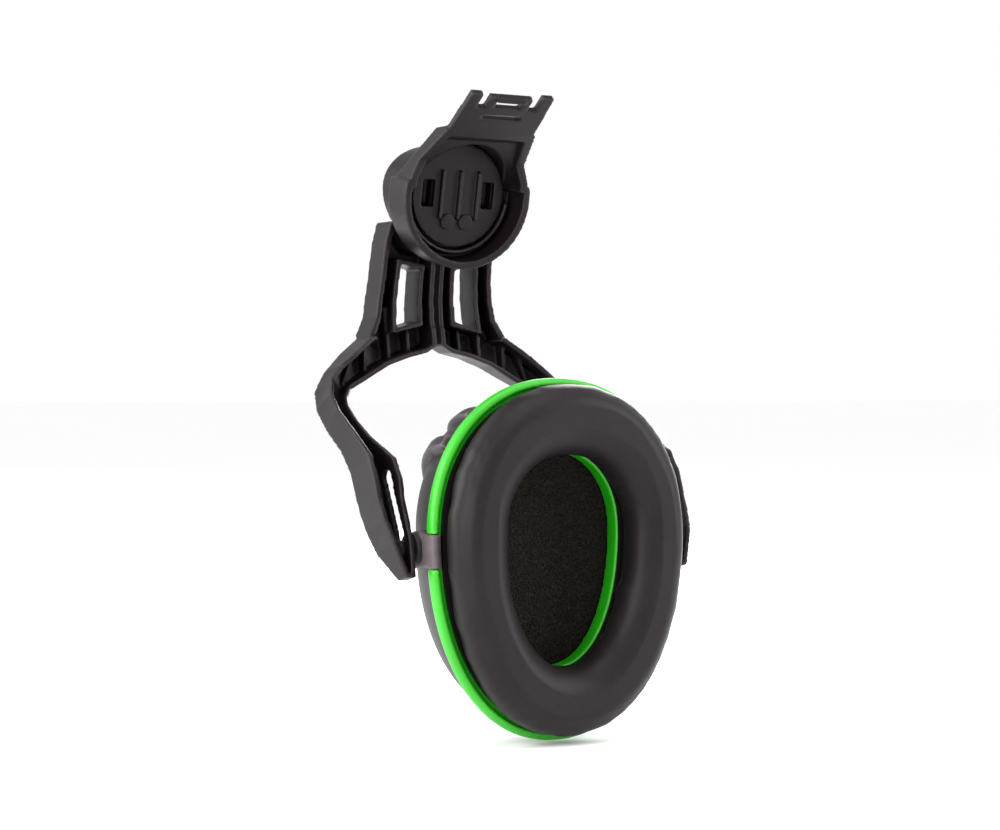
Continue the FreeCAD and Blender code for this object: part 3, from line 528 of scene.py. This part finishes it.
def addClip(build, side):
    # the snap clip that crosses the green ring beside each pivot
    clip = shell["clip"]
    inner, outer, bottom, top = clip["inner"], clip["outer"], clip["low"], clip["high"]
    section = [(inner, bottom), (outer + clip["lowEdge"], bottom), (outer, bottom + clip["lowEdge"]),
               (outer, top - clip["highEdge"]), (outer + clip["highEdge"], top), (inner, top)]
    corners = []
    for k in range(clip["steps"] + 1):
        z = clip["middle"] + clip["half"] * (2 * k / clip["steps"] - 1)
        height = cup["upper"] if z >= 0 else cup["lower"]
        x = cup["halfWidth"] * (1 - abs(z / height) ** cup["power"]) ** (1 / cup["power"])
        corners.append([build.verts.new(atRim(side * (x - inset), y, z)) for inset, y in section])
    joinRings(build, corners)
    build.faces.new(corners[0])
    build.faces.new(corners[-1])


build = makeShell()
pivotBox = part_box("trunnion_right")
pivotMiddle = (pivotBox[0] + pivotBox[1]) * 500 - rimOrigin
for side in (1, -1):
    addBoss(build, side, pivotMiddle.y, pivotMiddle.z)
    addClip(build, side)
bmesh.ops.recalc_face_normals(build, faces=build.faces)
shellMesh = bpy.data.meshes.new("cupShell")
build.to_mesh(shellMesh)
build.free()


def signShade(place):
    # the dished field behind the sign and the badge line read darker
    spot = place * 1000 - rimOrigin
    dish, shade = shell["signDish"], shell["shade"]
    if spot.y > shade["front"]:
        return 0.0
    inside = ramped(dish["radius"] - math.hypot(spot.x, spot.z - dish["middle"]), shade["dishRamp"])
    above = ramped(chevronGap(shell["chevrons"][0], abs(spot.x), spot.z), shade["edgeRamp"])
    return -shade["dish"] * inside * above - shade["line"] * onBadge(spot.x, spot.z)


# the shell's raised chevron edges get painted highlights; its inner corners, sign dish and badge line get painted
# shade
cupShell = markEdges(newPiece("cupShell", shellMesh, shellPlastic), shell["edgeGain"], signShade)
standFor(cupShell, "cup_shell")
print("cup shell", len(shellMesh.polygons))


# cushion
cushion = {
    # how far in from the rim the pad starts and ends, at the sides and at the ends
    "side": (3.4, 21.8), "end": (1.5, 22.9), "base": 4.0, "front": 17.0, "shrink": 0.5, "turns": 120,
    "section": [(0.06, 0.0), (0.0, 0.30), (0.02, 0.56), (0.09, 0.80), (0.22, 0.95), (0.40, 1.0), (0.58, 1.0),
                (0.75, 0.93), (0.90, 0.71), (1.0, 0.38), (0.99, 0.0)],
    "voxel": 3.0, "pressure": 4.0, "stiffness": 40, "bending": 6, "frames": 20, "cap": 1.5,
    "heldHeight": 1.6, "plump": 0.95, "waver": {"scale": 55.0, "depth": 0.22},
    "crease": {"at": 0.925, "width": 0.022, "depth": 0.12, "above": 9.0},
}


def cushionBlank():
    build = bmesh.new()
    shrink = cushion["shrink"]
    rise = cushion["front"] - cushion["base"] - shrink
    width = cushion["side"][1] - cushion["side"][0]
    length = cushion["end"][1] - cushion["end"][0]
    rings = []
    for share, up in cushion["section"]:
        share = 0.5 + (share - 0.5) * (1 - 2 * shrink / width)
        side = cushion["side"][0] + share * width
        end = cushion["end"][0] + share * length
        rings.append(eggRing(build, side, end, cushion["base"] + up * rise, cushion["turns"]))
    joinRings(build, rings + [rings[0]])
    bmesh.ops.recalc_face_normals(build, faces=build.faces)
    mesh = bpy.data.meshes.new("cushionBlank")
    build.to_mesh(mesh)
    build.free()
    return mesh


def inflated(blank):
    remesh = blank.modifiers.new("Even", "REMESH")
    remesh.mode, remesh.voxel_size = "VOXEL", cushion["voxel"] / 1000
    pad = settled(blank, "cushionPad", cushionSkin)
    start = [v.co.copy() for v in pad.data.vertices]
    held = pad.vertex_groups.new(name="held")
    baseY = atRim(0, cushion["base"], 0).y
    for v in pad.data.vertices:
        if v.co.y < baseY + cushion["heldHeight"] / 1000:
            held.add([v.index], 1.0, "REPLACE")
    cloth = pad.modifiers.new("Cloth", "CLOTH")
    cloth.settings.use_pressure = True
    cloth.settings.uniform_pressure_force = cushion["pressure"]
    cloth.settings.effector_weights.gravity = 0.0
    cloth.settings.vertex_group_mass = "held"
    cloth.settings.tension_stiffness = cushion["stiffness"]
    cloth.settings.compression_stiffness = cushion["stiffness"]
    cloth.settings.bending_stiffness = cushion["bending"]
    cloth.point_cache.frame_start, cloth.point_cache.frame_end = 1, cushion["frames"]
    for step in range(1, cushion["frames"] + 1):
        scene.frame_set(step)
    pad = settled(pad, "cushionPad", cushionSkin)
    scene.frame_set(1)
    return pad, start


pad, start = inflated(newPiece("cushionBlank", cushionBlank(), cushionSkin))
frontY = atRim(0, cushion["front"], 0).y
cap = cushion["cap"] / 1000
for v, before in zip(pad.data.vertices, start):
    move = v.co - before
    if move.length > cap:
        move *= cap / move.length
    v.co = before + move
    v.co.y = min(v.co.y, frontY)
# smoothed and made finer, then made finer still
for levels, rounds in ((1, 4), (2, 0)):
    if rounds:
        ease = pad.modifiers.new("Ease", "SMOOTH")
        ease.factor, ease.iterations = 0.5, rounds
    fine = pad.modifiers.new("Fine", "SUBSURF")
    fine.levels = fine.render_levels = levels
    pad = settled(pad, "cushionPad", cushionSkin)


def creased(place, normal):
    crease = cushion["crease"]
    spot = place * 1000 - rimOrigin
    height = (cup["upper"] if spot.z >= 0 else cup["lower"]) - cushion["end"][0]
    reach = ((abs(spot.x) / (cup["halfWidth"] - cushion["side"][0])) ** cup["power"]
             + (abs(spot.z) / height) ** cup["power"]) ** (1 / cup["power"])
    waver = cushion["waver"]
    push = cushion["plump"] + noise.noise(place * waver["scale"]) * waver["depth"]
    if spot.y > crease["above"]:
        off = (reach - crease["at"]) / crease["width"]
        push -= crease["depth"] * math.exp(-off * off)
    moved = place + normal * (push / 1000)
    moved.y = min(max(moved.y, padBase), frontY)
    return moved


padBase = atRim(0, cushion["base"], 0).y
pushed(pad, creased)
standFor(pad, "cushion_cover")
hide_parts("cushion_foam")
print("cushion", len(pad.data.polygons))


def newTree(name, labels):
    # a geometry tree that takes a shape and the named sizes
    tree = bpy.data.node_groups.new(name, "GeometryNodeTree")
    tree.interface.new_socket("Geometry", in_out="INPUT", socket_type="NodeSocketGeometry")
    for label in labels:
        tree.interface.new_socket(label, in_out="INPUT", socket_type="NodeSocketFloat")
    tree.interface.new_socket("Geometry", in_out="OUTPUT", socket_type="NodeSocketGeometry")
    return tree, tree.nodes.new("NodeGroupInput").outputs


def endTree(tree, shape, material):
    # every tree ends in real geometry with its own material
    real = tree.nodes.new("GeometryNodeRealizeInstances")
    paint = tree.nodes.new("GeometryNodeSetMaterial")
    sink = tree.nodes.new("NodeGroupOutput")
    paint.inputs["Material"].default_value = material
    tree.links.new(shape, real.inputs["Geometry"])
    tree.links.new(real.outputs["Geometry"], paint.inputs["Geometry"])
    tree.links.new(paint.outputs["Geometry"], sink.inputs["Geometry"])
    return tree


def grown(piece, tree, values, name, paint):
    # runs a node tree on a piece and keeps the result as a plain mesh
    use = piece.modifiers.new("Grow", "NODES")
    use.node_group = tree
    identifiers = {item.name: item.identifier for item in tree.interface.items_tree if item.in_out == "INPUT"}
    for label, value in values.items():
        use[identifiers[label]] = value
    return settled(piece, name, paint)


# foam liner
liner = {
    "voxel": 1.3, "lump": 0.35, "lumpScale": 160.0, "sink": 0.3,
    "dish": {"half": (22, 34), "middle": -8, "depth": 0.8},
    "grainGap": 0.95, "grainSize": 0.34, "density": 1.4e6, "seed": 7,
}


def randomVector(tree, low, high, seed):
    made = tree.nodes.new("FunctionNodeRandomValue")
    made.data_type = "FLOAT_VECTOR"
    made.inputs["Min"].default_value = low
    made.inputs["Max"].default_value = high
    made.inputs["Seed"].default_value = seed
    return made.outputs["Value"]


def linerGrainTree():
    tree, source = newTree("linerGrains", ("grain gap", "grain size"))
    nodes, links = tree.nodes, tree.links
    scatter = nodes.new("GeometryNodeDistributePointsOnFaces")
    scatter.distribute_method = "POISSON"
    scatter.inputs["Density Max"].default_value = liner["density"]
    scatter.inputs["Seed"].default_value = liner["seed"]
    grain = nodes.new("GeometryNodeMeshIcoSphere")
    grain.inputs["Subdivisions"].default_value = 1
    scale = randomVector(tree, (0.5, 0.5, 0.3), (1.2, 1.2, 0.8), liner["seed"] + 1)
    turn = randomVector(tree, (0.0, 0.0, 0.0), (6.28, 6.28, 6.28), liner["seed"] + 2)
    place = nodes.new("GeometryNodeInstanceOnPoints")
    join = nodes.new("GeometryNodeJoinGeometry")
    links.new(source["Geometry"], scatter.inputs["Mesh"])
    links.new(source["grain gap"], scatter.inputs["Distance Min"])
    links.new(source["grain size"], grain.inputs["Radius"])
    links.new(scatter.outputs["Points"], place.inputs["Points"])
    links.new(grain.outputs["Mesh"], place.inputs["Instance"])
    links.new(scale, place.inputs["Scale"])
    links.new(turn, place.inputs["Rotation"])
    links.new(source["Geometry"], join.inputs["Geometry"])
    links.new(place.outputs["Instances"], join.inputs["Geometry"])
    return endTree(tree, join.outputs["Geometry"], linerFoam)


rough = newPiece("linerRough", mergedCopy("liner_foam"), linerFoam)
remesh = rough.modifiers.new("Even", "REMESH")
remesh.mode, remesh.voxel_size = "VOXEL", liner["voxel"] / 1000
lining = settled(rough, "foamLiner", linerFoam)


def sagged(place, normal):
    spot = place * 1000 - rimOrigin
    dish = liner["dish"]
    across, along = spot.x / dish["half"][0], (spot.z - dish["middle"]) / dish["half"][1]
    hollow = max(0.0, 1 - across ** 2 - along ** 2) if normal.y > 0.5 else 0.0
    lump = noise.noise(place * liner["lumpScale"]) * liner["lump"] - liner["sink"]
    return place + normal * (lump / 1000) - Vector((0, dish["depth"] * hollow / 1000, 0))


pushed(lining, sagged)
grainSizes = {"grain gap": liner["grainGap"] / 1000, "grain size": liner["grainSize"] / 1000}
lining = grown(lining, linerGrainTree(), grainSizes, "foamLiner", linerFoam)
standFor(lining, "liner_foam")
print("foam liner", len(lining.data.polygons))


# springs and wave washer, grown by rule
spring = {"coilRadius": 2.25, "wireRadius": 0.4, "turns": 3.0, "pitch": 0.88, "leg": 3.6, "sides": 12}
washer = {"radius": 15.65, "width": 1.3, "thickness": 0.25, "wave height": 0.26, "waves": 4.0}


def coilTree():
    tree, source = newTree("springCoil", ("coil radius", "length", "turns", "wire radius"))
    nodes, links = tree.nodes, tree.links
    spiral = nodes.new("GeometryNodeCurveSpiral")
    spiral.inputs["Resolution"].default_value = 28
    section = nodes.new("GeometryNodeCurvePrimitiveCircle")
    section.inputs["Resolution"].default_value = spring["sides"]
    sweep = nodes.new("GeometryNodeCurveToMesh")
    sweep.inputs["Fill Caps"].default_value = True
    links.new(source["coil radius"], spiral.inputs["Start Radius"])
    links.new(source["coil radius"], spiral.inputs["End Radius"])
    links.new(source["length"], spiral.inputs["Height"])
    links.new(source["turns"], spiral.inputs["Rotations"])
    links.new(source["wire radius"], section.inputs["Radius"])
    links.new(spiral.outputs["Curve"], sweep.inputs["Curve"])
    links.new(section.outputs["Curve"], sweep.inputs["Profile Curve"])
    return endTree(tree, sweep.outputs["Mesh"], springSteel)


def waveTree():
    tree, source = newTree("waveWasher", ("radius", "width", "thickness", "wave height", "waves"))
    nodes, links = tree.nodes, tree.links
    ring = nodes.new("GeometryNodeCurvePrimitiveCircle")
    ring.inputs["Resolution"].default_value = 144
    along = Wire(tree, nodes.new("GeometryNodeSplineParameter").outputs["Factor"])
    angle = along * (2 * math.pi) * Wire(tree, source["waves"])
    wave = angle.maths("SINE", angle)
    lift = nodes.new("ShaderNodeCombineXYZ")
    shift = nodes.new("GeometryNodeSetPosition")
    band = nodes.new("GeometryNodeCurvePrimitiveQuadrilateral")
    sweep = nodes.new("GeometryNodeCurveToMesh")
    links.new(source["radius"], ring.inputs["Radius"])
    links.new((wave * Wire(tree, source["wave height"])).socket, lift.inputs["Z"])
    links.new(ring.outputs["Curve"], shift.inputs["Geometry"])
    links.new(lift.outputs["Vector"], shift.inputs["Offset"])
    links.new(source["width"], band.inputs["Width"])
    links.new(source["thickness"], band.inputs["Height"])
    links.new(shift.outputs["Geometry"], sweep.inputs["Curve"])
    links.new(band.outputs["Curve"], sweep.inputs["Profile Curve"])
    return endTree(tree, sweep.outputs["Mesh"], springSteel)


def blankPiece(name):
    return newPiece(name, bpy.data.meshes.new(name), springSteel)


def makeSpring(coil, label, side):
    node = "torsion_spring_" + label
    low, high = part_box(node)
    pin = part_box("hinge_pin")
    middle = (pin[0] + pin[1]) / 2
    wireRadius, coilRadius = spring["wireRadius"] / 1000, spring["coilRadius"] / 1000
    length = spring["pitch"] * spring["turns"] / 1000
    sizes = {"coil radius": coilRadius, "length": length, "turns": spring["turns"], "wire radius": wireRadius}
    made = grown(blankPiece("spring"), coil, sizes, "spring." + label, springSteel)
    startX = (low.x if side > 0 else high.x) + side * wireRadius
    quarter = Matrix.Rotation(side * math.pi / 2, 4, "Y")
    made.data.transform(Matrix.Translation((startX, middle.y, middle.z)) @ quarter)
    # the leg that presses on the arm
    leg = spring["leg"] / 1000
    legMiddle = (startX + side * length, middle.y + leg / 2, middle.z - coilRadius)
    build = bmesh.new()
    build.from_mesh(made.data)
    bmesh.ops.create_cone(build, cap_ends=True, segments=spring["sides"], radius1=wireRadius,
                          radius2=wireRadius, depth=leg,
                          matrix=Matrix.Translation(legMiddle) @ Matrix.Rotation(math.pi / 2, 4, "X"))
    bmesh.ops.recalc_face_normals(build, faces=build.faces)
    build.to_mesh(made.data)
    build.free()
    standFor(made, node)


coil = coilTree()
for label, side in (("left", -1), ("right", 1)):
    makeSpring(coil, label, side)

swivelAxis = next(Vector(joint["axis"]) for joint in frame["joints"] if joint["name"] == "turret_swivel")
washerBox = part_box("wave_washer")
washerSizes = {label: size if label == "waves" else size / 1000 for label, size in washer.items()}
waved = grown(blankPiece("wave"), waveTree(), washerSizes, "waveWasher", springSteel)
facing = Vector((0, 0, 1)).rotation_difference(swivelAxis).to_matrix().to_4x4()
waved.data.transform(Matrix.Translation((washerBox[0] + washerBox[1]) / 2) @ facing)
standFor(waved, "wave_washer")
print("springs and washer grown")


# studio
studio = {"halfFloor": 30.0, "gap": 0.0005, "world": 1.0}
lamps = {
    "keySide": {"at": (-0.75, 0.55, 0.30), "size": (0.35, 0.9), "power": 6.5},
    "fillSide": {"at": (0.80, 0.25, 0.20), "size": (0.30, 0.9), "power": 7.0},
    "topSoft": {"at": (0.05, 0.25, 0.85), "size": (0.6, 0.6), "power": 3.0},
    "outerLeft": {"at": (-0.70, -0.70, 0.35), "size": (0.35, 0.8), "power": 9.0},
    "outerRight": {"at": (0.75, -0.60, 0.30), "size": (0.35, 0.8), "power": 8.0},
}
view = {"azimuth": 148.4, "elevation": 0.5, "distance": 0.716, "lens": 85.8,
        "target": (0.0131, 0.0268, -0.0885)}


def floorPaint():
    paint, wire = newPaint("paleFloor")
    place = wire.node("ShaderNodeTexCoord", None, None, 3)
    dust = wire.node("ShaderNodeTexNoise", None, {"Vector": place, "Scale": 3.0})
    tone = dust.blend((0.965, 0.965, 0.965, 1), (0.985, 0.985, 0.985, 1))
    return finishPaint(paint, wire, {"Base Color": tone, "Roughness": 0.8})


def makeFloor():
    build = bmesh.new()
    bmesh.ops.create_grid(build, x_segments=2, y_segments=2, size=studio["halfFloor"])
    mesh = bpy.data.meshes.new("studioFloor")
    build.to_mesh(mesh)
    build.free()
    mesh.transform(Matrix.Translation((0, 0, cadBounds[0][2] - studio["gap"])))
    floor = newPiece("studioFloor", mesh, floorPaint())


def makeLamp(name, lamp, middle):
    light = bpy.data.lights.new(name, "AREA")
    light.shape = "RECTANGLE"
    light.size, light.size_y = lamp["size"]
    light.energy = lamp["power"]
    holder = bpy.data.objects.new(name, light)
    scene.collection.objects.link(holder)
    holder.location = middle + Vector(lamp["at"])
    holder.rotation_euler = (-Vector(lamp["at"])).to_track_quat("-Z", "Y").to_euler()


def makeCamera():
    azimuth, elevation = math.radians(view["azimuth"]), math.radians(view["elevation"])
    back = Vector((math.sin(azimuth) * math.cos(elevation), -math.cos(azimuth) * math.cos(elevation),
                   math.sin(elevation)))
    camera = bpy.data.objects.new("camera", bpy.data.cameras.new("camera"))
    scene.collection.objects.link(camera)
    camera.data.lens = view["lens"]
    camera.data.clip_start = 0.01
    camera.location = Vector(view["target"]) + back * view["distance"]
    camera.rotation_euler = (-back).to_track_quat("-Z", "Y").to_euler()
    scene.camera = camera


makeFloor()
world = bpy.data.worlds.new("softRoom")
scene.world = world
world.use_nodes = True
room = world.node_tree.nodes["Background"].inputs
room["Color"].default_value = (1.0, 1.0, 1.0, 1)
room["Strength"].default_value = studio["world"]
for name, lamp in lamps.items():
    makeLamp(name, lamp, (Vector(cadBounds[0]) + Vector(cadBounds[1])) / 2)
makeCamera()
scene.view_settings.view_transform = "Standard"
print("studio ready")
